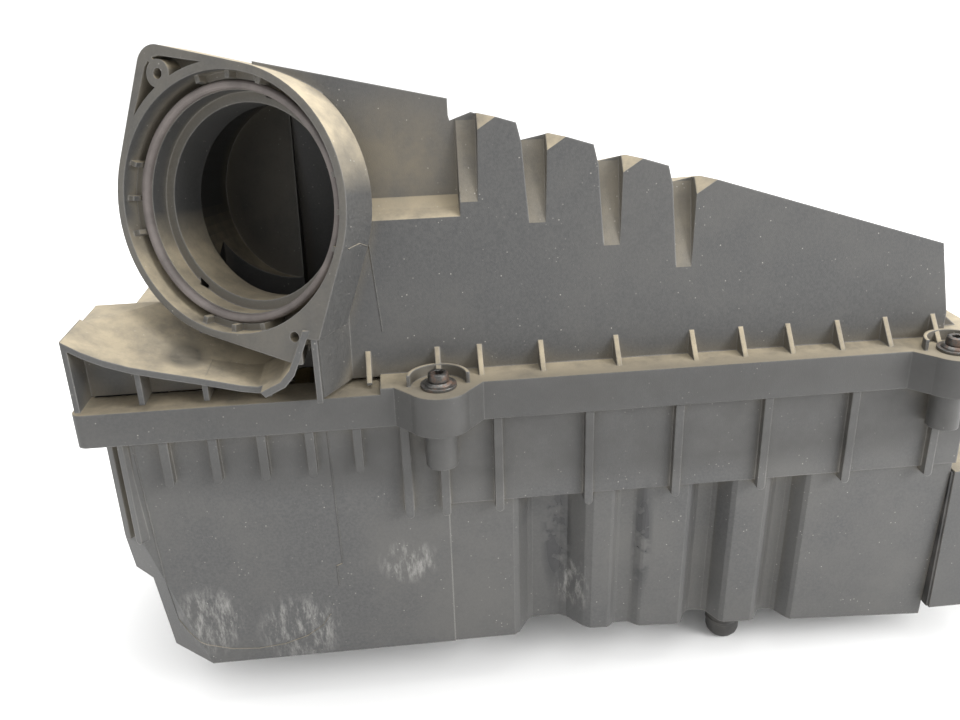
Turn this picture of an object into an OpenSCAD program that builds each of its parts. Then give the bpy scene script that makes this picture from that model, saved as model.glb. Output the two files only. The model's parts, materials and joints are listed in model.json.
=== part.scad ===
// Air filter housing: a screwed cover with a round clean-air outlet, a deep lower box with a
// side intake, and a pleated panel element clamped between them.
// Every sub-part is drawn about the front left cover screw, with the cover flange's top at z = 0,
// and then moved so that the origin is under the middle of the housing, on the ground it stands on.

/* [Flange] */
// Length of the cover flange
flange_l = 364; // [340:1:380]
// Width of the cover flange
flange_w = 168; // [160:1:190]
// Height of the skirt around the flange
skirt_h = 16; // [12:1:20]
// Width of the flange strip outside the dome
strip_w = 14; // [11:1:16]
// Distance from the left end of the flange to the front left screw
screw_inset = 136; // [120:1:140]
// Distance between the two front screws
screw_pitch = 205; // [190:1:215]

/* [Cover] */
// Wall thickness of both shells
wall = 2.6; // [2:0.1:3.2]
// Height of the roof's front edge above the flange, over the front left screw
ridge_h = 104; // [90:1:115]
// Fall of the roof for each millimetre towards the intake end
roof_fall_x = 0.32; // [0.25:0.01:0.35]
// Fall of the roof for each millimetre towards the back
roof_fall_y = 0.22; // [0.1:0.01:0.25]
// Number of notches in the roof's front edge
notches = 4; // [1:1:5]
// Distance between two notches
notch_pitch = 28.5; // [26:0.5:32]
// Depth of a notch below the roof's front edge
notch_depth = 8; // [4:0.5:10]
// How far a notch is scooped into the front wall
scoop_depth = 7.5; // [4:0.5:10]
// How far down the front wall a scoop runs
scoop_h = 32; // [20:1:34]

/* [Outlet] */
// Radius of the outlet bore
outlet_r = 36.5; // [32:0.5:38]
// Outer radius of the outlet collar
collar_r = 49.5; // [48:0.5:52]
// Angle that the outlet is turned away from straight ahead
outlet_turn = 28; // [20:1:35]
// Angle that the outlet is tilted up
outlet_tilt = 10; // [0:1:15]
// Distance of each sensor screw from the outlet's axis
sensor_screw_r = 53.2; // [52:0.1:54]

/* [Lower box] */
// Depth of the lower box below the flange at its shallow end
box_depth = 128; // [110:1:140]
// Extra depth at the drain end
box_drop = 10; // [0:1:14]
// Depth of the ledge under the ribs
ledge_depth = 55; // [45:1:65]
// Distance between two ribs under the skirt
rib_pitch = 18.2; // [16:0.1:20]
// Height of the feet and the drain below the lower box
ground_gap = 25; // [22:1:30]

/* [Filter] */
// Height of the pleats
pleat_h = 44; // [36:1:46]
// Distance between two pleats
pleat_pitch = 5.5; // [5:0.5:8]

/* [Hidden] */
$fn = 64;
shell_grey = [0.25, 0.25, 0.25];
big = 600;

// Flange and screws
flange_x0 = -screw_inset;
flange_x1 = flange_l - screw_inset;
plate_t = 3;
step_down = 2.5;
step_x = -22;
screw_y_front = -1;
screw_y_rear = flange_w + 1;
screw_spots = [[0, screw_y_front], [screw_pitch, screw_y_front],
    [-0.45 * screw_pitch, screw_y_rear], [0.3 * screw_pitch, screw_y_rear],
    [screw_pitch, screw_y_rear]];
nose_r = 12.5;
block_half = 17;
cup_r = 12;
cup_h = 4.5;
skirt_back = wall - screw_y_front;
screw_clear_r = 2.9;
gusset_t = 2;
gusset_h = 11;

// Dome
dome_x0 = flange_x0 + 2;
dome_x1 = flange_x1 - 19;
dome_y0 = strip_w;
dome_y1 = flange_w - strip_w;
wall_lean = 1.7;
end_lean = 11;
peak_x = 21.3;
peak_l = 12;
facet_rise_x = 0.62;
facet_rise_y = 1.25;
duct_x1 = 9;
duct_y0 = dome_y0 + 10;
duct_top = 104;
duct_fall_x = 0.228;
shelf_z = 62;
duct_run = [10, 72, -10];
low_roof_z = 25;
shelf_low_x = -66.7;
shelf_low_z = 4.5;
shelf_front_y = 22;
shelf_fall_x = 0.3;
shelf_rise_y = 0.35;
end_roof_z = 8;
// the curved plate under the outlet: its upper side, then the lip that curls up at its right end
plate_line = [[-133.5, 27], [-127, 22.6], [-120, 19], [-111, 15.6], [-100.8, 12.9], [-87, 9.4],
    [-73, 5.6], [shelf_low_x, shelf_low_z], [-61.4, 6]];
lip_line = [[-65, 4.9], [-57.5, 8.4], [-53.8, 12.7], [-50.4, 20.6], [-47.6, 27.5]];
plate_y = [-0.5, 24];
lip_y = [-7, 24];
lip_wall_x = [-45, -42.8];

// Outlet, in its own frame: X to the right, Y up, Z out of the bore
outlet_at = [-69.7, 20, 68.2];
seal_r = 42.2;
groove_floor_r = seal_r + 1.8;
collar_front = 5;
collar_web = -18;
throat_r = 40.4;
throat_z = -11;
tube_back = -27.1;
tube_r = groove_floor_r - 0.2;
seal_bead_r = 1.7;
seal_lip = 2 * seal_bead_r;
groove_outer_r = collar_r - 2.8;
sensor_screw_turn = 122;
lobe_r = 8;
lobe_at = 55.6;
sensor_hole_r = 1.9;
sensor_boss_r = 5;
sensor_hole_end = -7.5;
block_spread = 16.5;
cell_wall = 1.8;
cell_floor = 17;

// Lower box
rim_top = -11.5;
rim_bottom = -14;
rim_gap = 3.2;
box_x0 = flange_x0 + 6;
box_x1 = flange_x1 - 9.6;
box_y0 = 4;
box_y1 = flange_w - 4;
front_draft = 2.6;
floor_bend_x = 60;
end_step_x = -122;
end_step_z = -84;
end_step_rise = 2;
flutes_from_x = 2;
corner_turn = -130;
corner_top = [-118, 4, 0];
corner_low = [-112, 8, -97];
corner_low_tilt = 102;
corner_rib_z = -62;
ledge_step = 2.2;
// each flute: where it starts, its floor from and to, where it ends, and its depth
flutes = [[28.5, 38, 50, 62.5, 11], [70, 74.5, 80, 85, 3], [102.5, 110.5, 116.5, 124, 9.5],
    [136.5, 144.5, 149, 156, 8]];
boss_r = 6.3;
boss_bottom = -33;
pilot_r = 2.5;
washer_t = 1.2;
washer_bore_r = 2.8;
head_r = 4;
rib_t = 3.4;
rib_stand = 3;
ribs_left_x = -14 - 5 * rib_pitch;
drain_at = [131.5, 29];
drain_r = 8;
spout_r = 5.5;
foot_spots = [[-84, 92], [185, 46], [185, 132]];
pin_r = 6;
grommet_r = 10;
ground_z = -box_depth - ground_gap;

// Intake
intake_x0 = box_x1;
intake_y = [5, 101];
intake_z = [-131, -60];
intake_mid = [52, -96];
spigot_r = 34;
spigot_x0 = intake_x0 + 27;
spigot_x1 = spigot_x0 + 31;
mouth_y = [19, 85];
mouth_z = [-119, -73];

// Filter
gasket_x = [flange_x0 + 4.2, flange_x1 - 4.2];
gasket_y = [4.2, flange_w - 4.2];
pleat_x = [-109, 213];
pleat_y = [11, flange_w - 11];
pleat_top = -6;

// Middle of the whole housing
mid_x = (flange_x0 + spigot_x1) / 2;
mid_y = flange_w / 2;

function roof_z(x, y) = ridge_h - roof_fall_x * x - roof_fall_y * (y - dome_y0 - 2.5);
function duct_z(x, y) = duct_top - duct_fall_x * x - roof_fall_y * (y - duct_y0);

module placed() {
    translate([-mid_x, -mid_y, -ground_z]) children();
}

module box(x, y, z) {
    translate([x[0], y[0], z[0]]) cube([x[1] - x[0], y[1] - y[0], z[1] - z[0]]);
}

// A prism: an outline in X and Z, drawn out along Y
module slab(points, y) {
    translate([0, y[1], 0]) rotate([90, 0, 0]) linear_extrude(y[1] - y[0]) polygon(points);
}

// A bent plate: a line in X and Z, thickened by a shift and drawn out along Y
module ribbon(line, shift, y) {
    slab(concat(line, [for (i = [len(line) - 1 : -1 : 0]) line[i] + shift]), y);
}

// A box with its vertical edges rounded
module pillar(x, y, z, r) {
    translate([0, 0, z[0]]) linear_extrude(z[1] - z[0]) union() {
        translate([x[0] + r, y[0]]) square([x[1] - x[0] - 2 * r, y[1] - y[0]]);
        translate([x[0], y[0] + r]) square([x[1] - x[0], y[1] - y[0] - 2 * r]);
        for (cx = [x[0] + r, x[1] - r], cy = [y[0] + r, y[1] - r]) translate([cx, cy]) circle(r);
    }
}

module at_outlet() {
    translate(outlet_at) rotate([90 - outlet_tilt, 0, -outlet_turn]) children();
}

module at_sensor_screw(a) {
    at_outlet() rotate(sensor_screw_turn + a) translate([sensor_screw_r, 0, 0]) children();
}

// Everything above a plane that falls along X and along Y from height h at the point p
module above_plane(h, p, fall_x, fall_y) {
    translate([p.x, p.y, h])
        rotate([-atan(fall_y), 0, 0]) rotate([0, atan(fall_x * cos(atan(fall_y))), 0])
            translate([-big / 2, -big / 2, 0]) cube([big, big, big]);
}

// Everything in front of the dome's leaning front wall, with t as the wall's thickness
module before_front(t) {
    translate([-big / 2, dome_y0 + t, 0]) rotate([-wall_lean, 0, 0])
        translate([0, -big / 2, -50]) cube([big, big / 2, big / 2]);
}

// One notch: the saw tooth through the roof, the scoop down the front wall, and the facet
// that joins them; t widens it by the wall's thickness
module notch(k, t) {
    x_peak = peak_x + k * notch_pitch;
    x_wall = k == 0 ? duct_x1 - 1 : x_peak - notch_pitch + peak_l;
    z_wall = roof_z(x_wall, dome_y0);
    z_peak = roof_z(x_peak, dome_y0);
    z_low = z_wall - notch_depth;
    z_foot = z_low - scoop_h;
    // the tooth runs back along the roof's fall
    translate([0, dome_y0, 0]) rotate([-atan(roof_fall_y), 0, 0])
        slab([[x_wall - t, z_wall + 20], [x_wall - t, z_wall - t], [x_wall + 2 - t, z_low - t],
            [x_peak, z_peak - 1.2 * t], [x_peak + t, z_peak + 20]], [-20, flange_w + 20]);
    // the scoop runs out down the wall
    intersection() {
        slab([[x_wall + 2 - t, z_low + 12], [x_wall + 2 - t, z_low - t], [x_wall + 4.6 - t, z_foot - t],
            [x_wall + 10.6 + t, z_foot - t], [x_wall + 11.4 + t, z_low], [x_wall + 11.4 + t, z_low + 12]],
            [-20, 60]);
        translate([x_wall - 20, 0, 0]) rotate([90, 0, 90]) linear_extrude(60)
            polygon([[-20, z_low + 12], [dome_y0 + 2 + scoop_depth + t, z_low + 12],
                [dome_y0 + 2 + scoop_depth + t, z_low - t], [dome_y0 + 1 + t, z_foot - t],
                [-20, z_foot - t]]);
    }
    // the facet, from the scoop's back corner down to the front wall and up to the next peak
    intersection() {
        slab([[x_wall - t, z_wall + 20], [x_wall - t, z_wall - t], [x_wall + 2 - t, z_low - t],
            [x_wall + 4.6 - t, z_foot], [x_peak + 30, z_foot], [x_peak + 30, z_wall + 20]], [-20, 60]);
        above_plane(z_low - 1.5 * t, [x_wall + 2, dome_y0 + 2 + scoop_depth], -facet_rise_x, -facet_rise_y);
    }
}

// The cover's domed body; t insets every wall, for the hollow inside
module dome_body(t) {
    difference() {
        pillar([-40 + t, dome_x1 - t], [dome_y0 - 4, dome_y1 - t], [-1, 130], 5);
        above_plane(ridge_h - t * 1.1, [0, dome_y0 + 2.5], roof_fall_x, roof_fall_y);
        // the part beside the outlet has the duct's roof, and stands back to the duct's front face
        intersection() {
            above_plane(duct_top - t * 1.1, [0, duct_y0], duct_fall_x, roof_fall_y);
            box([-60, duct_x1], [-10, flange_w], [0, 160]);
        }
        shelf_cut(t);
        before_front(t);
        translate([dome_x1 + 2 - t, -big / 2, 0]) rotate([0, -end_lean, 0]) cube([big, big, big]);
        for (k = [0 : notches - 1]) notch(k, t);
    }
}

// Space over the curved shelf beside the outlet
module shelf_cut(t) {
    y = duct_y0 + t;
    translate([-60, 0, 0]) rotate([90, 0, 90]) linear_extrude(duct_x1 + 3 + 60 + t) polygon([[-10, 150],
        [-10, shelf_z - 4 - t], [dome_y0 + 1, shelf_z - 2 - t], [y - 3, shelf_z + 1 - t],
        [y, shelf_z + 5 - t], [y, 150]]);
}

// The low body under the outlet, at the left end; it rises gently from the shelf plate
module end_body(t) {
    difference() {
        translate([dome_x0 + t, 0, 0]) rotate([90, 0, 90]) linear_extrude(-20 - dome_x0) polygon([
            [dome_y0 + t, -1], [dome_y0 + t, low_roof_z - t], [46, low_roof_z - t],
            [92, end_roof_z - t], [dome_y1 - t, end_roof_z - t], [dome_y1 - t, -1]]);
        above_plane(shelf_low_z - 1.1 * t, [shelf_low_x, shelf_front_y], shelf_fall_x, -shelf_rise_y);
    }
}

// A disc of the duct, a part f of the way from the collar to the duct's blind end
module duct_disc(f, t) {
    translate(f * duct_run) at_outlet() translate([0, 0, -12])
        cylinder(r = collar_r - 1.5 - 6 * f - t, h = 1);
}

// The duct that leads from the outlet into the dome
module duct_body(t) {
    difference() {
        union() {
            hull() {
                duct_disc(t > 0 ? 0.22 : 0, t);
                if (t == 0) at_outlet() translate([0, 0, -12]) rotate(sensor_screw_turn)
                    translate([lobe_at - 6, 0, 0]) cylinder(r = lobe_r, h = 1);
                duct_disc(t > 0 ? 0.97 : 1, t);
            }
            slab([[-58 + t, 0], [-58 + t, 130], [duct_x1 - t, 130], [duct_x1 + 2 - t, 0]],
                [duct_y0 + t, 112 - t]);
            slab([[-92 + t, 0], [-92 + t, 50], [0, 50], [0, 0]], [duct_y0 + 8 + t, 96 - t]);
        }
        above_plane(duct_top - t * 1.1, [0, duct_y0], duct_fall_x, roof_fall_y);
        box([-big, big], [-big, big], [-big, 0]);
        shelf_cut(t);
    }
}

module lobe(turn) {
    spread = acos((collar_r - lobe_r) / lobe_at);
    rotate(turn) {
        translate([lobe_at, 0]) circle(lobe_r);
        polygon([collar_r * [cos(spread), sin(spread)],
            [lobe_at, 0] + lobe_r * [cos(spread), sin(spread)],
            [lobe_at, 0] + lobe_r * [cos(spread), -sin(spread)],
            collar_r * [cos(spread), -sin(spread)]]);
    }
}

// Triangular pocket beside a sensor screw's boss
module lobe_pocket(side) {
    spread = acos((collar_r - lobe_r) / lobe_at);
    rotate(sensor_screw_turn) translate([0, 0, -3]) linear_extrude(20) difference() {
        polygon([[collar_r * cos(spread) + 1, side * (collar_r * sin(spread) - 4)],
            [lobe_at + lobe_r * cos(spread) - 3.5, side * (lobe_r * sin(spread) - 1.5)],
            [lobe_at + 3.5, side * 1], [lobe_at - 8, side * 1]]);
        circle(collar_r + 0.5);
        translate([sensor_screw_r, 0]) circle(sensor_boss_r);
    }
}

module collar() {
    at_outlet() difference() {
        union() {
            translate([0, 0, -13]) linear_extrude(13 + collar_front) union() {
                circle(collar_r);
                lobe(sensor_screw_turn);
                lobe(sensor_screw_turn + 180);
            }
        }
        // groove between the outlet tube and the collar's wall
        difference() {
            translate([0, 0, collar_web]) cylinder(r = groove_outer_r, h = 40);
            translate([0, 0, collar_web - 1]) cylinder(r = tube_r, h = -collar_web);
            for (a = [0, 90, 180, 270]) rotate(a) collar_block();
        }
        translate([0, 0, -seal_lip]) cylinder(r = groove_floor_r, h = 40);
        for (side = [-1, 1]) lobe_pocket(side);
    }
}

// Two shallow cells between the outlet tube and the collar's wall
module collar_block() {
    for (a = [-block_spread, 0, block_spread]) rotate(a)
        translate([seal_r, -cell_wall / 2, collar_web - 1])
            cube([10, cell_wall, collar_front - 1.5 - collar_web]);
    intersection() {
        difference() {
            translate([0, 0, collar_web - 1]) cylinder(r = groove_outer_r + 1, h = cell_floor);
            translate([0, 0, collar_web - 2]) cylinder(r = seal_r, h = 40);
        }
        translate([0, 0, collar_web - 1]) linear_extrude(30) polygon([[0, 0],
            60 * [cos(block_spread), -sin(block_spread)], 60 * [cos(block_spread), sin(block_spread)]]);
    }
}

// Curved plate under the outlet, with its webs and the upright box at its right end
module shelf_plate() {
    ribbon(plate_line, [0, -2.6], plate_y);
    ribbon(lip_line, [1.7, -2.1], lip_y);
    box([lip_line[4].x, lip_wall_x[1]], lip_y, [lip_line[4].y - 2.2, lip_line[4].y]);
    box(lip_wall_x, lip_y, [-1, lip_line[4].y]);
    box([plate_line[0].x, plate_line[0].x + 2], plate_y, [-1, plate_line[0].y - 1.5]);
    for (x = [-110, -86.5, -63.5]) box([x - 1, x + 1], [2.5, 24], [-1, 5 - 0.2 * (x + 66)]);
    translate([lip_wall_x[0] + 0.5, -1, -1]) rotate(-32) cube([2.2, 20, lip_line[4].y - 0.5]);
}

module gusset_row() {
    for (x = [-26, 0.7, 17.2, 41.4, 71.5, 102.3, 122.4, 141.9, 162.5, 182.7, 203])
        translate([x - gusset_t / 2, 0, 0]) rotate([90, 0, 90]) linear_extrude(gusset_t)
            polygon([[6.2, -1], [6.2, 0], [strip_w + 1.2, gusset_h], [strip_w + 1.2, -1]]);
}

module end_gussets() {
    for (y = [26, 55, 84, 113, 142])
        slab([[dome_x1 - 1, -1], [dome_x1 - 1, gusset_h], [flange_x1 - 7, 0], [flange_x1 - 7, -1]],
            [y - gusset_t / 2, y + gusset_t / 2]);
}

// Block and cup round one cover screw; side is 1 at the front and -1 at the rear
module screw_block(side) {
    difference() {
        union() {
            translate([0, 0, -skirt_h]) linear_extrude(skirt_h) union() {
                circle(nose_r);
                polygon([[-block_half, side * 1], [-block_half, side * 5], [block_half, side * 5],
                    [block_half, side * 1], [11, side * -6], [-11, side * -6]]);
            }
            difference() {
                cylinder(r = cup_r, h = cup_h);
                translate([0, 0, -1]) cylinder(r = cup_r - 1.3, h = cup_h + 2);
                translate([-big / 2, side > 0 ? -big + 1 : -1, 0]) cube([big, big, big]);
            }
        }
        // the block ends at the skirt's inner face, clear of the lower box's rim
        translate([-big / 2, side > 0 ? skirt_back : -big - skirt_back, -skirt_h - 1])
            cube([big, big, skirt_h + 1 - plate_t]);
    }
}

module upper_cover() {
    color(shell_grey) placed() difference() {
        union() {
            // skirt and flange plate
            difference() {
                pillar([flange_x0, flange_x1], [0, flange_w], [-skirt_h, -step_down], 4);
                pillar([flange_x0 + wall, flange_x1 - wall], [wall, flange_w - wall],
                    [-skirt_h - 1, -plate_t], 2);
            }
            box([step_x, flange_x1 - 4], [0, flange_w], [-plate_t, 0]);
            box([step_x, flange_x1], [4, flange_w - 4], [-plate_t, 0]);
            difference() {
                union() {
                    dome_body(0);
                    end_body(0);
                    duct_body(0);
                    difference() {
                        collar();
                        box([-48.5, -30], [-30, 12], [-1, 24.5]);
                    }
                    shelf_plate();
                }
                dome_body(wall);
                end_body(wall);
                duct_body(wall);
            }
            at_outlet() translate([0, 0, tube_back]) cylinder(r = outlet_r + wall, h = throat_z - tube_back);
            for (a = [0, 180]) at_sensor_screw(a) translate([0, 0, sensor_hole_end - 1.5])
                cylinder(r = sensor_boss_r - 1, h = collar_front - sensor_hole_end + 1.5);
            gusset_row();
            translate([0, flange_w, 0]) mirror([0, 1, 0]) gusset_row();
            end_gussets();
            for (p = screw_spots) translate([p.x, p.y, 0]) screw_block(p.y < 10 ? 1 : -1);
        }
        // opening over the element
        box([dome_x0 + wall, dome_x1 - wall], [dome_y0 + wall, dome_y1 - wall], [-20, 1]);
        at_outlet() translate([0, 0, -40]) cylinder(r = outlet_r, h = 80);
        at_outlet() translate([0, 0, throat_z]) cylinder(r = throat_r, h = 40);
        at_outlet() translate([0, 0, -seal_lip]) cylinder(r = groove_floor_r, h = 40);
        for (a = [0, 180]) at_sensor_screw(a) translate([0, 0, sensor_hole_end])
            cylinder(r = sensor_hole_r, h = 40);
        for (p = screw_spots) translate([p.x, p.y, -skirt_h - 1])
            cylinder(r = screw_clear_r, h = skirt_h + 5);
    }
}

module outlet_seal() {
    color([0.62, 0.58, 0.56]) placed() at_outlet() rotate_extrude() union() {
        translate([seal_r - seal_bead_r, -seal_lip]) square([2 * seal_bead_r, seal_lip - seal_bead_r]);
        translate([seal_r, -seal_bead_r]) circle(seal_bead_r);
    }
}

// One flank of a flute, a half wave from one point to the other
function flank(x0, x1, y0, y1) = [for (s = [0 : 4])
    [x0 + (x1 - x0) * s / 4, y0 + (y1 - y0) * (1 - cos(45 * s)) / 2]];

// Outline of the lower wall, seen from above: flat panels with flutes between them
function flute_line(y) = concat([[-big / 2, y]], [for (f = flutes)
    each concat(flank(f[0], f[1], y, y + f[4]), flank(f[2], f[3], y + f[4], y))], [[big / 2, y]]);

// What lies in front of the fluted wall
module before_flutes(t) {
    y = box_y0 + ledge_step + t;
    translate([0, 0, -ledge_depth + t]) rotate([front_draft, 0, 0]) translate([0, 0, -big / 4])
        linear_extrude(big / 4) polygon(concat(flute_line(y), [[big / 2, -big / 8], [-big / 2, -big / 8]]));
}

module before_left_front(t) {
    translate([-big / 2, box_y0 + t, -skirt_h]) rotate([front_draft, 0, 0])
        translate([0, -big / 8, -big / 2]) cube([big / 2 + flutes_from_x - t, big / 8, big / 2 + skirt_h]);
}

// What lies outside a slanted corner cut at the front of the left end
module before_corner(p, tilt, t) {
    translate(p) rotate([0, tilt, corner_turn]) translate([-big / 2, -big / 2, -t]) cube([big, big, big]);
}

module box_body(t) {
    difference() {
        slab([[box_x0 + t, rim_top + 2 * t], [box_x1 - t, rim_top + 2 * t],
            [box_x1 - t, -box_depth - box_drop + t], [floor_bend_x, -box_depth + t],
            [end_step_x + t, -box_depth + t], [end_step_x + t, end_step_z + t],
            [box_x0 + t, end_step_z + end_step_rise + t]], [box_y0 + t, box_y1 - t]);
        before_corner(corner_top, 90, t);
        before_corner(corner_low, corner_low_tilt, t);
        before_left_front(t);
        difference() {
            before_flutes(t);
            box([-big, flutes_from_x - t], [-big, dome_y0], [-big, 0]);
        }
        translate([0, box_y1 - t, -skirt_h]) rotate([-front_draft, 0, 0])
            translate([-big / 2, 0, -big / 2]) cube([big, big / 8, big / 2]);
    }
}

// Height of the floor's underside
function floor_z(x) = -box_depth -
    (x < floor_bend_x ? 0 : box_drop * (x - floor_bend_x) / (box_x1 - floor_bend_x));

// Ribs on the outside of the upper wall
module box_ribs() {
    for (k = [0 : 4]) rib(ribs_left_x + k * rib_pitch, -36);
    rib(ribs_left_x + 5 * rib_pitch, -ledge_depth - 3.5);
    for (k = [0 : 5]) rib(ribs_left_x + (7 + 2 * k) * rib_pitch, -ledge_depth - 3.5);
    rib(0.8, -ledge_depth - 3.5);
    for (along = [3, 10]) translate([corner_top.x, corner_top.y, 0]) rotate(corner_turn + 90)
        translate([-along, -box_y0 + 0.6, 0]) rib(0, corner_rib_z);
}

module rib(x, z) {
    front = box_y0 - rib_stand;
    box([x - rib_t / 2, x + rib_t / 2], [front, box_y0 + 2], [z + rib_t / 2, -skirt_h - 0.4]);
    translate([x, front, z + rib_t / 2]) rotate([-90, 0, 0]) cylinder(r = rib_t / 2, h = rib_stand + 2);
}

module lower_box() {
    color(shell_grey) placed() difference() {
        union() {
            difference() {
                union() {
                    box_body(0);
                    box([flange_x0 + rim_gap, flange_x1 - rim_gap], [rim_gap, flange_w - rim_gap],
                        [rim_bottom, rim_top]);
                    for (p = screw_spots) translate([p.x, p.y, boss_bottom])
                        cylinder(r = boss_r, h = -skirt_h - 0.3 - boss_bottom);
                }
                box_body(wall);
            }
            box_ribs();
            for (p = foot_spots) translate([p.x, p.y, ground_z + 3])
                cylinder(r = pin_r, h = floor_z(p.x) + wall / 2 - ground_z - 3);
            translate([drain_at.x, drain_at.y, ground_z + 9])
                cylinder(r = spout_r, h = floor_z(drain_at.x) + wall / 2 - ground_z - 9);
        }
        for (p = screw_spots) translate([p.x, p.y, boss_bottom + 2]) cylinder(r = pilot_r, h = 40);
        translate([drain_at.x, drain_at.y, ground_z - 1]) cylinder(r = spout_r - 1.5, h = 40);
        box([box_x1 - 20, box_x1 + 20], mouth_y, mouth_z);
    }
}

module filter_pleats() {
    count = floor((pleat_x[1] - pleat_x[0]) / pleat_pitch);
    pitch = (pleat_x[1] - pleat_x[0]) / count;
    half = 0.7;
    low = pleat_top - pleat_h;
    top_line = [for (k = [0 : count - 1], s = [0, 1])
        [pleat_x[0] + (k + (s == 0 ? 0.02 : 0.52)) * pitch, s == 0 ? low + 3 : pleat_top]];
    bottom_line = [for (k = [count - 1 : -1 : 0], s = [1, 0])
        [pleat_x[0] + (k + (s == 0 ? 0.02 : 0.52)) * pitch, s == 0 ? low : pleat_top - 3]];
    color([0.85, 0.8, 0.65]) placed() slab(concat(top_line, bottom_line), pleat_y);
}

module filter_gasket() {
    color([0.2, 0.2, 0.22]) placed() difference() {
        union() {
            pillar(gasket_x, gasket_y, [rim_top, -plate_t - 0.3], 8);
            box([pleat_x[0] - 2.5, pleat_x[1] + 2.5], [pleat_y[0] - 2.5, pleat_y[1] + 2.5],
                [-16, rim_top]);
        }
        box(pleat_x, [pleat_y[0] - 1.2, pleat_y[1] + 1.2], [-40, 10]);
    }
}

module filter_edge_bands() {
    color([0.8, 0.78, 0.7]) placed() for (y = [pleat_y[0] - 1.2, pleat_y[1]])
        box(pleat_x, [y, y + 1.2], [pleat_top - pleat_h, pleat_top]);
}

module at_screw(i) {
    placed() translate([screw_spots[i].x, screw_spots[i].y, 0]) children();
}

module cover_screw(i) {
    color([0.16, 0.15, 0.15]) at_screw(i) difference() {
        union() {
            translate([0, 0, boss_bottom + 5])
                cylinder(r = pilot_r - 0.08, h = 2 * washer_t - boss_bottom - 5);
            translate([0, 0, 2 * washer_t]) cylinder(r = head_r, h = 2.6);
            translate([0, 0, 5]) cylinder(r1 = head_r, r2 = head_r - 0.9, h = 0.8);
        }
        translate([0, 0, 3]) cylinder(r = 2.1, h = 5, $fn = 6);
    }
}

module flat_washer(i) {
    color([0.3, 0.29, 0.28]) at_screw(i) difference() {
        cylinder(r = 6.9, h = washer_t);
        translate([0, 0, -1]) cylinder(r = washer_bore_r, h = 4);
    }
}

module spring_washer(i) {
    color([0.22, 0.21, 0.21]) at_screw(i) translate([0, 0, washer_t]) difference() {
        cylinder(r1 = 5.4, r2 = 4.6, h = washer_t);
        translate([0, 0, -1]) cylinder(r = washer_bore_r, h = 4);
    }
}

module cover_screw_front_left() cover_screw(0);
module cover_screw_front_right() cover_screw(1);
module cover_screw_rear_left() cover_screw(2);
module cover_screw_rear_middle() cover_screw(3);
module cover_screw_rear_right() cover_screw(4);
module flat_washer_front_left() flat_washer(0);
module flat_washer_front_right() flat_washer(1);
module flat_washer_rear_left() flat_washer(2);
module flat_washer_rear_middle() flat_washer(3);
module flat_washer_rear_right() flat_washer(4);
module spring_washer_front_left() spring_washer(0);
module spring_washer_front_right() spring_washer(1);
module spring_washer_rear_left() spring_washer(2);
module spring_washer_rear_middle() spring_washer(3);
module spring_washer_rear_right() spring_washer(4);

module drain_valve() {
    color([0.08, 0.08, 0.08]) placed() translate([drain_at.x, drain_at.y, ground_z]) difference() {
        cylinder(r = drain_r, h = 16);
        translate([0, 0, 9]) cylinder(r = spout_r, h = 10);
        translate([0, 0, 2.5]) cylinder(r = spout_r - 1.5, h = 10);
        translate([-0.4, -5, -1]) cube([0.8, 10, 5]);
    }
}

module intake_adaptor() {
    color(shell_grey) placed() difference() {
        union() {
            box([intake_x0 + 1.2, spigot_x0], intake_y, intake_z);
            translate([spigot_x0 - 1, intake_mid.x, intake_mid.y]) rotate([0, 90, 0])
                cylinder(r = spigot_r, h = spigot_x1 - spigot_x0 + 1);
        }
        box([intake_x0, spigot_x0 - wall], [intake_y[0] + wall, intake_y[1] - wall],
            [intake_z[0] + wall, intake_z[1] - wall]);
        translate([spigot_x0 - 10, intake_mid.x, intake_mid.y]) rotate([0, 90, 0])
            cylinder(r = spigot_r - wall, h = 80);
    }
}

module intake_seal() {
    color([0.1, 0.1, 0.1]) placed() difference() {
        box([intake_x0, intake_x0 + 1.2], [intake_y[0] + 0.6, intake_y[1] - 0.6],
            [intake_z[0] + 0.6, intake_z[1] - 0.6]);
        box([intake_x0 - 1, intake_x0 + 9], [intake_y[0] + 8, intake_y[1] - 8],
            [intake_z[0] + 8, intake_z[1] - 8]);
    }
}

module grommet(i) {
    color([0.1, 0.1, 0.1]) placed() translate([foot_spots[i].x, foot_spots[i].y, ground_z])
        difference() {
            rotate_extrude() polygon([[0, 0], [grommet_r - 2, 0], [grommet_r, 2], [grommet_r, 5],
                [grommet_r - 2.5, 6.5], [grommet_r - 2.5, 9.5], [grommet_r, 11], [grommet_r, 14],
                [0, 14]]);
            translate([0, 0, 3]) cylinder(r = pin_r, h = 20);
        }
}

module grommet_left() grommet(0);
module grommet_right_front() grommet(1);
module grommet_right_rear() grommet(2);

upper_cover();
outlet_seal();
lower_box();
filter_pleats();
filter_gasket();
filter_edge_bands();
cover_screw_front_left();
cover_screw_front_right();
cover_screw_rear_left();
cover_screw_rear_middle();
cover_screw_rear_right();
flat_washer_front_left();
flat_washer_front_right();
flat_washer_rear_left();
flat_washer_rear_middle();
flat_washer_rear_right();
spring_washer_front_left();
spring_washer_front_right();
spring_washer_rear_left();
spring_washer_rear_middle();
spring_washer_rear_right();
drain_valve();
intake_adaptor();
intake_seal();
grommet_left();
grommet_right_front();
grommet_right_rear();
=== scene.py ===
import json
import math

import bmesh
import bpy
from mathutils import Matrix, Vector
from mathutils.bvhtree import BVHTree

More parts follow.
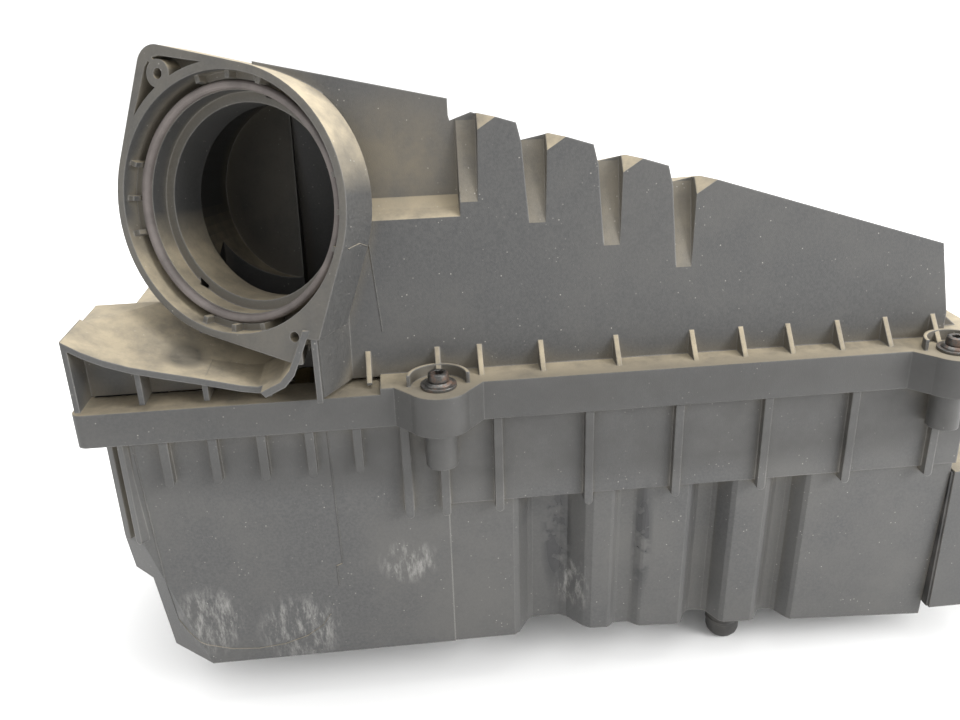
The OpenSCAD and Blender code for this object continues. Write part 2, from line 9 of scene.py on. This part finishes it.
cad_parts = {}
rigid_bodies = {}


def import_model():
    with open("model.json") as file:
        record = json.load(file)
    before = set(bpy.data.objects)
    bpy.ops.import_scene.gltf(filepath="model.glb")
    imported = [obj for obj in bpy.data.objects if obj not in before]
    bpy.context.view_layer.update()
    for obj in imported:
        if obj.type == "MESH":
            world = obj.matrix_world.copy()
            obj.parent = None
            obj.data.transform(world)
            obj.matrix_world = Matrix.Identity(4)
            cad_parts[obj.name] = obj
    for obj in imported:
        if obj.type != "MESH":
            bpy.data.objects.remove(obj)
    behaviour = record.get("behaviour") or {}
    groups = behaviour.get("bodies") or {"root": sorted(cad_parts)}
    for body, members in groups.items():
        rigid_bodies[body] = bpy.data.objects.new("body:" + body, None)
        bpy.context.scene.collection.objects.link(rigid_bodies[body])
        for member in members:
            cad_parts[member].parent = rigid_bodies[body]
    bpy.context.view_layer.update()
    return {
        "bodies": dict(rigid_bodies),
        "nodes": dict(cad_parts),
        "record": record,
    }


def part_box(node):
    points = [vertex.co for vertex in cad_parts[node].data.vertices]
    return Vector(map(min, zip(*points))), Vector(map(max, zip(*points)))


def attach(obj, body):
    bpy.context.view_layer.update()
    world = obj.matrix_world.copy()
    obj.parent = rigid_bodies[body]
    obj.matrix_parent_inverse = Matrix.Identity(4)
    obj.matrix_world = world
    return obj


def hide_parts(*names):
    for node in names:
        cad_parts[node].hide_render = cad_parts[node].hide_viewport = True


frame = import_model()


# --- The moulded plastic of both shells ---
# The cover and the lower box are glass-filled polyamide, spark-eroded to a fine grain and
# grey with road dust, which lies thickest on what faces up and in the corners.
def add(tree, kind, values=None, **settings):
    """A shader node with its settings, and values or links on its inputs."""
    made = tree.nodes.new(kind)
    for name, value in settings.items():
        setattr(made, name, value)
    for name, value in (values or {}).items():
        if isinstance(value, bpy.types.NodeSocket):
            tree.links.new(value, made.inputs[name])
        else:
            made.inputs[name].default_value = value
    return made


def new_material(name):
    material = bpy.data.materials.new(name)
    material.use_nodes = True
    material.node_tree.nodes.clear()
    tree = material.node_tree
    shader = add(tree, "ShaderNodeBsdfPrincipled")
    out = add(tree, "ShaderNodeOutputMaterial")
    tree.links.new(shader.outputs["BSDF"], out.inputs["Surface"])
    return material, tree, shader


def noise(tree, place, scale, detail=4.0, rough=0.6):
    return add(tree, "ShaderNodeTexNoise", {"Vector": place, "Scale": scale, "Detail": detail,
                                            "Roughness": rough}).outputs["Fac"]


def spread(tree, value, low, high, to_low=0.0, to_high=1.0):
    return add(tree, "ShaderNodeMapRange", {"Value": value, "From Min": low, "From Max": high,
                                            "To Min": to_low, "To Max": to_high}).outputs["Result"]


def maths(tree, operation, a, b):
    return add(tree, "ShaderNodeMath", {0: a, 1: b}, operation=operation, use_clamp=True).outputs[0]


def blend_colour(tree, factor, a, b):
    return add(tree, "ShaderNodeMix", {0: factor, 6: a, 7: b}, data_type="RGBA").outputs[2]


def patch(tree, place, centre, half):
    """1 at a place on the surface, falling to 0 at its half sizes."""
    shifted = add(tree, "ShaderNodeMapping", {
        "Vector": place, "Location": [-c / h for c, h in zip(centre, half)],
        "Scale": [1 / h for h in half]}).outputs[0]
    far = add(tree, "ShaderNodeVectorMath", {0: shifted}, operation="LENGTH").outputs["Value"]
    return spread(tree, far, 1.0, 0.55)


def shell_plastic(name, tone, dust, marks=(), wet=(), film=(), wipes_and_painted_shade=()):
    material, tree, shader = new_material(name)
    coords = add(tree, "ShaderNodeTexCoord")
    place = coords.outputs["Object"]
    cloudy = noise(tree, place, 22.0, 6.0)
    fine = noise(tree, place, 900.0, 3.0)
    grain = noise(tree, place, 2600.0, 2.0)
    base = blend_colour(tree, spread(tree, fine, 0.35, 0.65),
                        (tone * 0.8, tone * 0.8, tone * 0.8, 1), (tone * 1.2, tone * 1.19, tone * 1.16, 1))
    base = blend_colour(tree, spread(tree, cloudy, 0.4, 0.68, 0.0, 0.5), base,
                        (tone * 1.6, tone * 1.54, tone * 1.42, 1))
    # dust on what faces up, thinner and broken where the surface leans
    facing = add(tree, "ShaderNodeSeparateXYZ", {0: coords.outputs["Normal"]}).outputs["Z"]
    lying = spread(tree, facing, 0.12, 0.55)
    broken = spread(tree, noise(tree, place, 55.0, 8.0, 0.7), 0.3, 0.6, 0.35, 1.0)
    corner = add(tree, "ShaderNodeAmbientOcclusion", {"Distance": 0.012}, samples=4).outputs["AO"]
    hidden = maths(tree, "MULTIPLY", spread(tree, corner, 0.75, 0.3), 0.3)
    cover = maths(tree, "MAXIMUM", maths(tree, "MULTIPLY", lying, broken), hidden)
    cover = maths(tree, "MULTIPLY", cover, dust)
    base = blend_colour(tree, cover, base, (0.33, 0.28, 0.195, 1))
    # pale specks, and a pale line along every edge: partly rubbed wear, partly a painted edge highlight
    cells = add(tree, "ShaderNodeTexVoronoi", {"Vector": place, "Scale": 420.0}).outputs["Distance"]
    sparse = spread(tree, noise(tree, place, 130.0, 2.0), 0.52, 0.62)
    specks = maths(tree, "MULTIPLY", spread(tree, cells, 0.14, 0.06), sparse)
    base = blend_colour(tree, maths(tree, "MULTIPLY", specks, 0.5), base, (0.42, 0.4, 0.36, 1))
    # the edge line is lighter colour where the rounded normal turns from the flat one: wear and painted
    # highlight together
    round_edge = add(tree, "ShaderNodeBevel", {"Radius": 0.0009}, samples=6).outputs[0]
    flat = add(tree, "ShaderNodeNewGeometry").outputs["Normal"]
    turn = add(tree, "ShaderNodeVectorMath", {0: round_edge, 1: flat},
               operation="DOT_PRODUCT").outputs["Value"]
    edge_wear_and_highlight = maths(tree, "MULTIPLY", spread(tree, turn, 0.985, 0.85),
                 spread(tree, cloudy, 0.35, 0.6, 0.2, 0.8))
    base = blend_colour(tree, edge_wear_and_highlight, base, (0.17, 0.165, 0.155, 1))
    # a brown film where dust has settled on upright faces
    for centre, half in film:
        where = maths(tree, "MULTIPLY", patch(tree, place, centre, half), broken)
        base = blend_colour(tree, maths(tree, "MULTIPLY", where, 0.7), base, (0.115, 0.095, 0.062, 1))
    # dark patches: one where the dust has been wiped off, the others painted shade on the skirt and under
    # it
    for centre, half in wipes_and_painted_shade:
        where = maths(tree, "MULTIPLY", patch(tree, place, centre, half), broken)
        base = blend_colour(tree, maths(tree, "MULTIPLY", where, 0.8), base, (0.03, 0.029, 0.027, 1))
    # scratches: long thin threads of noise, kept to the places that were dragged or knocked
    for centre, half, lean in marks:
        turned = add(tree, "ShaderNodeMapping", {"Vector": place, "Rotation": (0, lean, 0),
                                                 "Scale": (420.0, 60.0, 110.0)}).outputs[0]
        threads = spread(tree, noise(tree, turned, 1.0, 6.0, 0.75), 0.47, 0.75, 0.0, 0.6)
        where = patch(tree, place, centre, half)
        base = blend_colour(tree, maths(tree, "MULTIPLY", threads, where), base, (0.36, 0.35, 0.33, 1))
    rough = spread(tree, fine, 0.3, 0.7, 0.48, 0.62)
    rough = add(tree, "ShaderNodeMix", {0: cover, 2: rough, 3: 0.9}).outputs[0]
    # dried runs of liquid, darker and glossier than the dust round them
    for centre, half in wet:
        ragged = spread(tree, noise(tree, place, 90.0, 3.0), 0.42, 0.5)
        where = maths(tree, "MULTIPLY", patch(tree, place, centre, half), ragged)
        base = blend_colour(tree, maths(tree, "MULTIPLY", where, 0.85), base, (0.012, 0.012, 0.013, 1))
        rough = add(tree, "ShaderNodeMix", {0: where, 2: rough, 3: 0.25}).outputs[0]
    relief = add(tree, "ShaderNodeBump", {"Height": grain, "Strength": 0.22, "Distance": 0.0003,
                                          "Normal": round_edge}).outputs[0]
    tree.links.new(base, shader.inputs["Base Color"])
    tree.links.new(rough, shader.inputs["Roughness"])
    tree.links.new(relief, shader.inputs["Normal"])
    return material


def wear(node, material):
    """Gives a CAD node its material, whatever slots it came with."""
    mesh = frame["nodes"][node].data
    mesh.materials.clear()
    mesh.materials.append(material)


# --- Upper cover ---
# One moulding: flange, domed roof with its notches, and the round outlet on its duct.
# It is screwed down on the lower box at five cups round the flange.
cover_low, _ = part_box("upper_cover")
outlet = next(m for m in frame["record"]["mounts"] if m["name"] == "outlet_bore")
outlet_line = Vector(outlet["pos_m"])
duct_film = [((outlet_line.x + 0.048, outlet_line.y + 0.003, outlet_line.z + 0.015),
              (0.05, 0.03, 0.034))]
skirt_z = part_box("filter_gasket")[0].z
# a spot wiped clean beside the outlet, and a band of painted shade along the skirt
wiped_and_shaded_patches = [((outlet_line.x - 0.034, outlet_line.y - 0.02, outlet_line.z - 0.052),
          (0.01, 0.012, 0.009)),
         ((0.01, cover_low.y, skirt_z + 0.008), (0.26, 0.03, 0.016))]
cover_finish = shell_plastic("dusty_cover_plastic", 0.042, 0.95, film=duct_film, wipes_and_painted_shade=wiped_and_shaded_patches)
wear("upper_cover", cover_finish)


def finish_piece(name, bm, smooth_deg=35):
    mesh = bpy.data.meshes.new(name)
    bm.to_mesh(mesh)
    bm.free()
    mesh.polygons.foreach_set("use_smooth", [True] * len(mesh.polygons))
    mesh.set_sharp_from_angle(angle=math.radians(smooth_deg))
    piece = bpy.data.objects.new(name, mesh)
    bpy.context.scene.collection.objects.link(piece)
    return piece


def witness_line(name, node, route, material, body, thick=0.0003):
    """The raised hair line a joint in the mould leaves, along a route of (x, z) on a front wall."""
    wall = BVHTree.FromObject(frame["nodes"][node], bpy.context.evaluated_depsgraph_get())
    on_wall = []
    steps = 9
    for (x0, z0), (x1, z1) in zip(route, route[1:]):
        for step in range(steps):
            x = x0 + (x1 - x0) * step / steps
            z = z0 + (z1 - z0) * step / steps
            found = wall.ray_cast(Vector((x, -0.2, z)), Vector((0, 1, 0)))[0]
            if found:
                on_wall.append(found)
    bm = bmesh.new()
    rim = bmesh.ops.create_circle(bm, segments=6, radius=thick)["verts"]
    edges = list({e for v in rim for e in v.link_edges})
    for i, spot in enumerate(on_wall):
        heading = (on_wall[min(i + 1, len(on_wall) - 1)] - on_wall[max(i - 1, 0)]).normalized()
        stand = Matrix.Translation(spot) @ heading.to_track_quat("Z", "Y").to_matrix().to_4x4()
        if i:
            grown = bmesh.ops.extrude_edge_only(bm, edges=edges)["geom"]
            rim = [g for g in grown if isinstance(g, bmesh.types.BMVert)]
            edges = [g for g in grown if isinstance(g, bmesh.types.BMEdge)
                     and all(v in rim for v in g.verts)]
            bmesh.ops.transform(bm, matrix=stand @ last.inverted(), verts=rim)
        else:
            bmesh.ops.transform(bm, matrix=stand, verts=rim)
        last = stand
    bmesh.ops.holes_fill(bm, edges=bm.edges, sides=6)
    bmesh.ops.recalc_face_normals(bm, faces=bm.faces)
    line = finish_piece(name, bm, 60)
    line.data.materials.append(material)
    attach(line, body)


left = cover_low.x
rim_z = outlet["pos_m"][2] - 0.065
witness_line("cover_witness_line", "upper_cover",
             [(left + 0.107, rim_z + 0.0562), (left + 0.1108, rim_z + 0.0562),
              (left + 0.1135, rim_z + 0.0534), (left + 0.114, rim_z + 0.0465),
              (left + 0.1165, rim_z + 0.014)], cover_finish, "cover")

# --- Lower box ---
# One deep moulding with ribs under the rim and flutes below the ledge, pressed hard against
# other parts in use, so its lower corners are scuffed and liquid has run down between the flutes.
box_low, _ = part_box("lower_box")
front = box_low.y + 0.018
# each scuff: its centre, its half sizes and its lean
scuffs = [((-0.171, front, 0.048), (0.016, 0.03, 0.02), 0.5),
          ((-0.134, front, 0.04), (0.02, 0.03, 0.02), -0.4),
          ((-0.086, front, 0.07), (0.014, 0.03, 0.012), 0.9),
          ((-0.016, front, 0.046), (0.009, 0.03, 0.016), -0.8)]
runs = [((-0.022, front + 0.01, 0.07), (0.007, 0.04, 0.036)),
        ((0.014, front + 0.01, 0.072), (0.005, 0.04, 0.038))]
# painted shade: a dark band on the box wall under the cover's skirt, where its shadow falls
painted_shade_under_skirt = [((0.01, box_low.y + 0.008, skirt_z - 0.014), (0.26, 0.03, 0.022))]
box_finish = shell_plastic("dusty_box_plastic", 0.05, 0.85, scuffs, runs, wipes_and_painted_shade=painted_shade_under_skirt)
wear("lower_box", box_finish)
panel = -0.153
swept = [(panel + 0.033 * math.sin(a), 0.05 - 0.019 * math.cos(a)) for a in
         [math.radians(-80 + 20 * s) for s in range(9)]]
witness_line("box_panel_line", "lower_box",
             [(-0.1872, 0.136), (-0.1862, 0.09), (-0.1855, 0.06), *swept], box_finish, "box")
witness_line("box_centre_line", "lower_box",
             [(-0.114, 0.136), (-0.1135, 0.072), (-0.116, 0.071), (-0.116, 0.06)], box_finish, "box")

# --- Intake adaptor ---
# A separate moulding screwed on the box's right end over a flat seal; its round spigot takes the
# raw-air hose.
wear("intake_adaptor", shell_plastic("dusty_adaptor_plastic", 0.045, 0.85))


# --- Sealing ring in the outlet ---
# A moulded rubber ring with a rounded lip, laid in a seat at the outlet's mouth. Its face is
# bleached and dusty.
def soft_rubber(name, colour, bloom, rough):
    material, tree, shader = new_material(name)
    place = add(tree, "ShaderNodeTexCoord").outputs["Object"]
    cloudy = noise(tree, place, 80.0, 6.0)
    mixed = blend_colour(tree, spread(tree, cloudy, 0.35, 0.65), (*colour, 1), (*bloom, 1))
    relief = add(tree, "ShaderNodeBump", {"Height": noise(tree, place, 1500.0, 2.0), "Strength": 0.15,
                                          "Distance": 0.0003}).outputs[0]
    tree.links.new(mixed, shader.inputs["Base Color"])
    tree.links.new(spread(tree, cloudy, 0.3, 0.7, rough - 0.1, rough + 0.1), shader.inputs["Roughness"])
    tree.links.new(relief, shader.inputs["Normal"])
    return material


def turned_piece(name, profile, steps=64, place=Matrix.Identity(4), closed=True):
    """A piece turned about Z from a profile of (radius, height) points, then put in place."""
    bm = bmesh.new()
    points = [bm.verts.new((r, 0, z)) for r, z in profile]
    lines = [bm.edges.new(pair) for pair in zip(points, points[1:])]
    if closed:
        lines.append(bm.edges.new((points[-1], points[0])))
    bmesh.ops.spin(bm, geom=points + lines, cent=(0, 0, 0), axis=(0, 0, 1), dvec=(0, 0, 0),
                   angle=2 * math.pi, steps=steps, use_merge=True, use_normal_flip=False,
                   use_duplicate=False)
    bmesh.ops.remove_doubles(bm, verts=bm.verts, dist=1e-6)
    bmesh.ops.recalc_face_normals(bm, faces=bm.faces)
    bmesh.ops.transform(bm, matrix=place, verts=bm.verts)
    return finish_piece(name, bm)


def rounded(corners, radius, steps=4):
    """A closed profile with each corner turned into an arc."""
    line = []
    for i, corner in enumerate(corners):
        here = Vector(corner)
        back = (Vector(corners[i - 1]) - here).normalized()
        ahead = (Vector(corners[(i + 1) % len(corners)]) - here).normalized()
        for s in range(steps + 1):
            t = s / steps
            line.append(tuple(here + back * radius * (1 - t) ** 2 + ahead * radius * t ** 2))
    return line


outlet_axis = Vector(outlet["axis"])
seal_low, seal_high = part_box("outlet_seal")
seal_mid = (seal_low + seal_high) / 2
seal_centre = outlet_line + outlet_axis * (seal_mid - outlet_line).dot(outlet_axis)
outlet_turn = outlet_axis.to_track_quat("Z", "Y").to_matrix().to_4x4()
outlet_frame = Matrix.Translation(seal_centre) @ outlet_turn
ring_r = 0.0422
bead = 0.0016
ring_profile = rounded([(ring_r - bead, -0.0015), (ring_r + bead, -0.0015), (ring_r + bead, 0.0004),
                        (ring_r + 0.0008, 0.0015), (ring_r - 0.0008, 0.0015),
                        (ring_r - bead, 0.0004)], 0.0005)
ring = turned_piece("outlet_sealing_ring", ring_profile, 128, outlet_frame)
ring.data.materials.append(soft_rubber("bleached_rubber", (0.085, 0.073, 0.068),
                                       (0.145, 0.126, 0.118), 0.75))
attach(ring, "cover")
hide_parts("outlet_seal")

# --- Cover screws and their washers ---
# Five plated steel screws with a six-lobed recess, each held captive by a flat washer and a
# sprung washer. The heads sit in the cups, so they gather grime and a little rust.
def plated_steel(name, tone, rust):
    material, tree, shader = new_material(name)
    place = add(tree, "ShaderNodeTexCoord").outputs["Object"]
    cloudy = noise(tree, place, 260.0, 6.0, 0.7)
    metal = blend_colour(tree, spread(tree, noise(tree, place, 1800.0), 0.3, 0.7),
                         (tone, tone, tone * 0.97, 1), (tone * 1.7, tone * 1.65, tone * 1.55, 1))
    stained = maths(tree, "MULTIPLY", spread(tree, cloudy, 0.5, 0.62), rust)
    tree.links.new(blend_colour(tree, stained, metal, (0.11, 0.055, 0.03, 1)), shader.inputs["Base Color"])
    tree.links.new(spread(tree, stained, 0.0, 1.0, 0.85, 0.1), shader.inputs["Metallic"])
    tree.links.new(spread(tree, cloudy, 0.3, 0.7, 0.28, 0.6), shader.inputs["Roughness"])
    return material


screw_finish = plated_steel("dark_plated_steel", 0.05, 0.6)
washer_finish = plated_steel("dull_washer_steel", 0.09, 0.75)
washer_bore_r = 0.0028
for body in [b for b in frame["bodies"] if b.startswith("screw_")]:
    corner = body.removeprefix("screw_")
    low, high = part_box("cover_screw_" + corner)
    middle = (low + high) / 2
    at = Matrix.Translation((middle.x, middle.y, high.z))
    head_r = (high.x - low.x) / 2
    head_z = -0.0034
    shank_r = 0.00242
    length = high.z - low.z
    lines = [(0.0021, -0.0026), (0.0021, -0.0002), (0.0024, 0.0), (0.0031, 0.0), (0.0037, -0.0004),
             (head_r - 0.0001, -0.0010), (head_r, -0.0016), (head_r, head_z + 0.0003),
             (head_r - 0.0003, head_z), (shank_r - 0.0003, head_z)]
    pitch = 0.0011
    for turn_number in range(int((length - 0.008) / pitch)):
        top = head_z - 0.002 - turn_number * pitch
        lines += [(shank_r - 0.0004, top), (shank_r, top - pitch * 0.45),
                  (shank_r - 0.0004, top - pitch * 0.9)]
    lines += [(shank_r - 0.0006, -length + 0.0006), (shank_r - 0.0011, -length), (0.0, -length)]
    screw = turned_piece("lobed_screw_" + corner, [(0.0, -0.0026)] + lines, 48, closed=False)
    # the recess's round wall is drawn in at six places
    for v in screw.data.vertices:
        r = math.hypot(v.co.x, v.co.y)
        if 0.0015 < r < 0.00245 and v.co.z > -0.0027:
            lobed = 1 - 0.16 * (0.5 - 0.5 * math.cos(6 * math.atan2(v.co.y, v.co.x)))
            v.co.x *= lobed
            v.co.y *= lobed
    screw.data.transform(at)
    screw.data.materials.append(screw_finish)
    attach(screw, body)
    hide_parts("cover_screw_" + corner)
    low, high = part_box("flat_washer_" + corner)
    thick = high.z - low.z
    wide = (high.x - low.x) / 2
    washer_profile = rounded([(washer_bore_r, 0), (wide, 0), (wide, thick), (washer_bore_r, thick)],
                             0.00018, 3)
    flat_washer = turned_piece("wide_washer_" + corner, washer_profile, 64,
                               Matrix.Translation((middle.x, middle.y, low.z)))
    flat_washer.data.materials.append(washer_finish)
    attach(flat_washer, body)
    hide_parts("flat_washer_" + corner)
    low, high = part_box("spring_washer_" + corner)
    wide = (high.x - low.x) / 2
    thick = high.z - low.z
    washer_profile = rounded([(washer_bore_r, 0.0003), (wide, 0), (wide - 0.0001, 0.0005),
                              (wide - 0.0009, thick), (washer_bore_r, thick)], 0.00015, 3)
    sprung = turned_piece("sprung_washer_" + corner, washer_profile, 64,
                          Matrix.Translation((middle.x, middle.y, low.z)))
    sprung.data.materials.append(washer_finish)
    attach(sprung, body)
    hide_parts("spring_washer_" + corner)

# --- Filter element ---
# Resin-stiffened paper folded into deep pleats, with fleece along the folds' open ends and a
# moulded polyurethane foam rim that both shells clamp.
paper, tree, shader = new_material("pleated_paper")
place = add(tree, "ShaderNodeTexCoord").outputs["Object"]
stretched = add(tree, "ShaderNodeMapping", {"Vector": place, "Scale": (900, 250, 900)}).outputs[0]
fibres = noise(tree, stretched, 1.0, 6.0)
height = add(tree, "ShaderNodeSeparateXYZ", {0: place}).outputs["Z"]
folds_low, folds_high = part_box("filter_pleats")
soiled = maths(tree, "MULTIPLY", spread(tree, height, folds_high.z, folds_low.z),
               spread(tree, noise(tree, place, 40.0, 6.0), 0.35, 0.65, 0.4, 1.0))
clean = blend_colour(tree, fibres, (0.62, 0.53, 0.34, 1), (0.74, 0.66, 0.47, 1))
tree.links.new(blend_colour(tree, soiled, clean, (0.2, 0.17, 0.13, 1)), shader.inputs["Base Color"])
shader.inputs["Roughness"].default_value = 0.85
relief = add(tree, "ShaderNodeBump", {"Height": fibres, "Strength": 0.3, "Distance": 0.0003}).outputs[0]
tree.links.new(relief, shader.inputs["Normal"])
pleat_count = 58
steps_per_pleat = 8
crease = 0.985  # 1 is a dead sharp fold
bm = bmesh.new()
bmesh.ops.create_grid(bm, x_segments=pleat_count * steps_per_pleat, y_segments=10, size=0.5)
size = folds_high - folds_low
mid = (folds_high + folds_low) / 2
for v in bm.verts:
    phase = (v.co.x + 0.5) * pleat_count * 2 * math.pi
    fold = math.asin(crease * math.sin(phase)) / math.asin(crease)
    wander = 0.0004 * math.sin(v.co.y * 9 + v.co.x * 31)
    v.co = (mid.x + v.co.x * (size.x - 0.002) + wander, mid.y + v.co.y * (size.y - 0.0006),
            mid.z + fold * (size.z / 2 - 0.0008))
pleats = finish_piece("folded_filter_paper", bm, 70)
skin = pleats.modifiers.new("paper_thickness", "SOLIDIFY")
skin.thickness = 0.0005
skin.offset = 0.0
pleats.data.materials.append(paper)
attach(pleats, "element")
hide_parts("filter_pleats")
wear("filter_gasket", soft_rubber("foam_rim", (0.03, 0.03, 0.033), (0.07, 0.07, 0.072), 0.8))
wear("filter_edge_bands", soft_rubber("fleece_band", (0.55, 0.53, 0.48), (0.68, 0.66, 0.6), 0.9))

# --- Drain valve, intake seal and grommets ---
# Black rubber mouldings: a slit valve pushed on the drain spout, a flat seal behind the intake
# adaptor, and three grooved grommets on the feet's pins.
black_rubber = soft_rubber("black_moulded_rubber", (0.012, 0.012, 0.012), (0.05, 0.047, 0.043), 0.6)
wear("intake_seal", black_rubber)
low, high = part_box("drain_valve")
middle = (low + high) / 2
valve_r = (high.x - low.x) / 2
tall = high.z - low.z
waist_r = valve_r - 0.0004
valve = turned_piece("slit_drain_valve", [
    (0.0, 0.0), (0.003, 0.0), (0.0055, 0.0006), (valve_r - 0.001, 0.0024), (waist_r, 0.0042),
    (waist_r, 0.008), (valve_r, 0.0084), (valve_r, 0.0098), (waist_r, 0.0102), (waist_r, tall - 0.003),
    (valve_r, tall - 0.0025), (valve_r, tall - 0.0005), (valve_r - 0.0005, tall), (0.0056, tall),
    (0.0056, 0.009), (0.004, 0.0085), (0.004, 0.003), (0.0, 0.0028)], 64,
    Matrix.Translation((middle.x, middle.y, low.z)), False)
valve.data.materials.append(black_rubber)
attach(valve, "box")
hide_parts("drain_valve")
for where in ("left", "right_front", "right_rear"):
    low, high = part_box("grommet_" + where)
    middle = (low + high) / 2
    wide = (high.x - low.x) / 2
    pin = 0.00605
    tall = high.z - low.z
    groove_r = wide - 0.0025
    foot = turned_piece("foot_grommet_" + where, [
        (0.0, 0.0), (groove_r, 0.0), (wide - 0.0008, 0.0008), (wide, 0.0026), (wide, 0.0046),
        (wide - 0.0008, 0.0056), (wide - 0.0022, 0.0062), (groove_r, 0.007), (groove_r, 0.0092),
        (wide - 0.0022, 0.0099), (wide - 0.0008, 0.0105), (wide, 0.0114), (wide, tall - 0.001),
        (wide - 0.001, tall), (pin + 0.0006, tall), (pin, tall - 0.0006), (pin, 0.0031),
        (0.0, 0.0031)], 64, Matrix.Translation((middle.x, middle.y, low.z)), False)
    foot.data.materials.append(black_rubber)
    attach(foot, "box")
    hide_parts("grommet_" + where)

# --- Floor, light and camera ---
# A pale table in a bright, even room, with one soft light overhead and one at the front right.
bm = bmesh.new()
bmesh.ops.create_grid(bm, x_segments=1, y_segments=1, size=6.0)
floor = finish_piece("pale_floor", bm)
floor_finish, tree, shader = new_material("pale_table")
shader.inputs["Base Color"].default_value = (0.86, 0.86, 0.855, 1)
shader.inputs["Roughness"].default_value = 0.7
floor.data.materials.append(floor_finish)

world = bpy.data.worlds.new("pale_room")
world.use_nodes = True
world.node_tree.nodes["Background"].inputs["Color"].default_value = (1.0, 1.0, 1.0, 1)
world.node_tree.nodes["Background"].inputs["Strength"].default_value = 1.35
bpy.context.scene.world = world


def soft_light(name, place, aim, width, watts):
    lamp = bpy.data.lights.new(name, "AREA")
    lamp.size = width
    lamp.energy = watts
    lamp_object = bpy.data.objects.new(name, lamp)
    bpy.context.scene.collection.objects.link(lamp_object)
    lamp_object.location = place
    lamp_object.rotation_euler = (Vector(aim) - Vector(place)).to_track_quat("-Z", "Y").to_euler()


soft_light("overhead_softbox", (0.3, 0.3, 1.6), (0.0, 0.0, 0.1), 1.2, 30.0)
soft_light("window_side_softbox", (1.3, -0.9, 0.8), (0.0, 0.0, 0.12), 0.8, 30.0)
bpy.context.scene.view_settings.view_transform = "Standard"

camera = bpy.data.cameras.new("viewpoint")
camera.lens = 33.87
camera.sensor_width = 36.0
camera_object = bpy.data.objects.new("viewpoint", camera)
bpy.context.scene.collection.objects.link(camera_object)
pitch, yaw, roll = math.radians(22.51), math.radians(5.19), math.radians(-1.91)
forward = Vector((math.sin(yaw) * math.cos(pitch), math.cos(yaw) * math.cos(pitch), -math.sin(pitch)))
level = Vector((math.cos(yaw), -math.sin(yaw), 0))
upright = level.cross(forward)
right = level * math.cos(roll) + upright * math.sin(roll)
up = upright * math.cos(roll) - level * math.sin(roll)
aim = Matrix((right, up, -forward)).transposed().to_4x4()
camera_object.matrix_world = Matrix.Translation((-0.0825, -0.3964, 0.2920)) @ aim
bpy.context.scene.camera = camera_object

bpy.context.view_layer.update()
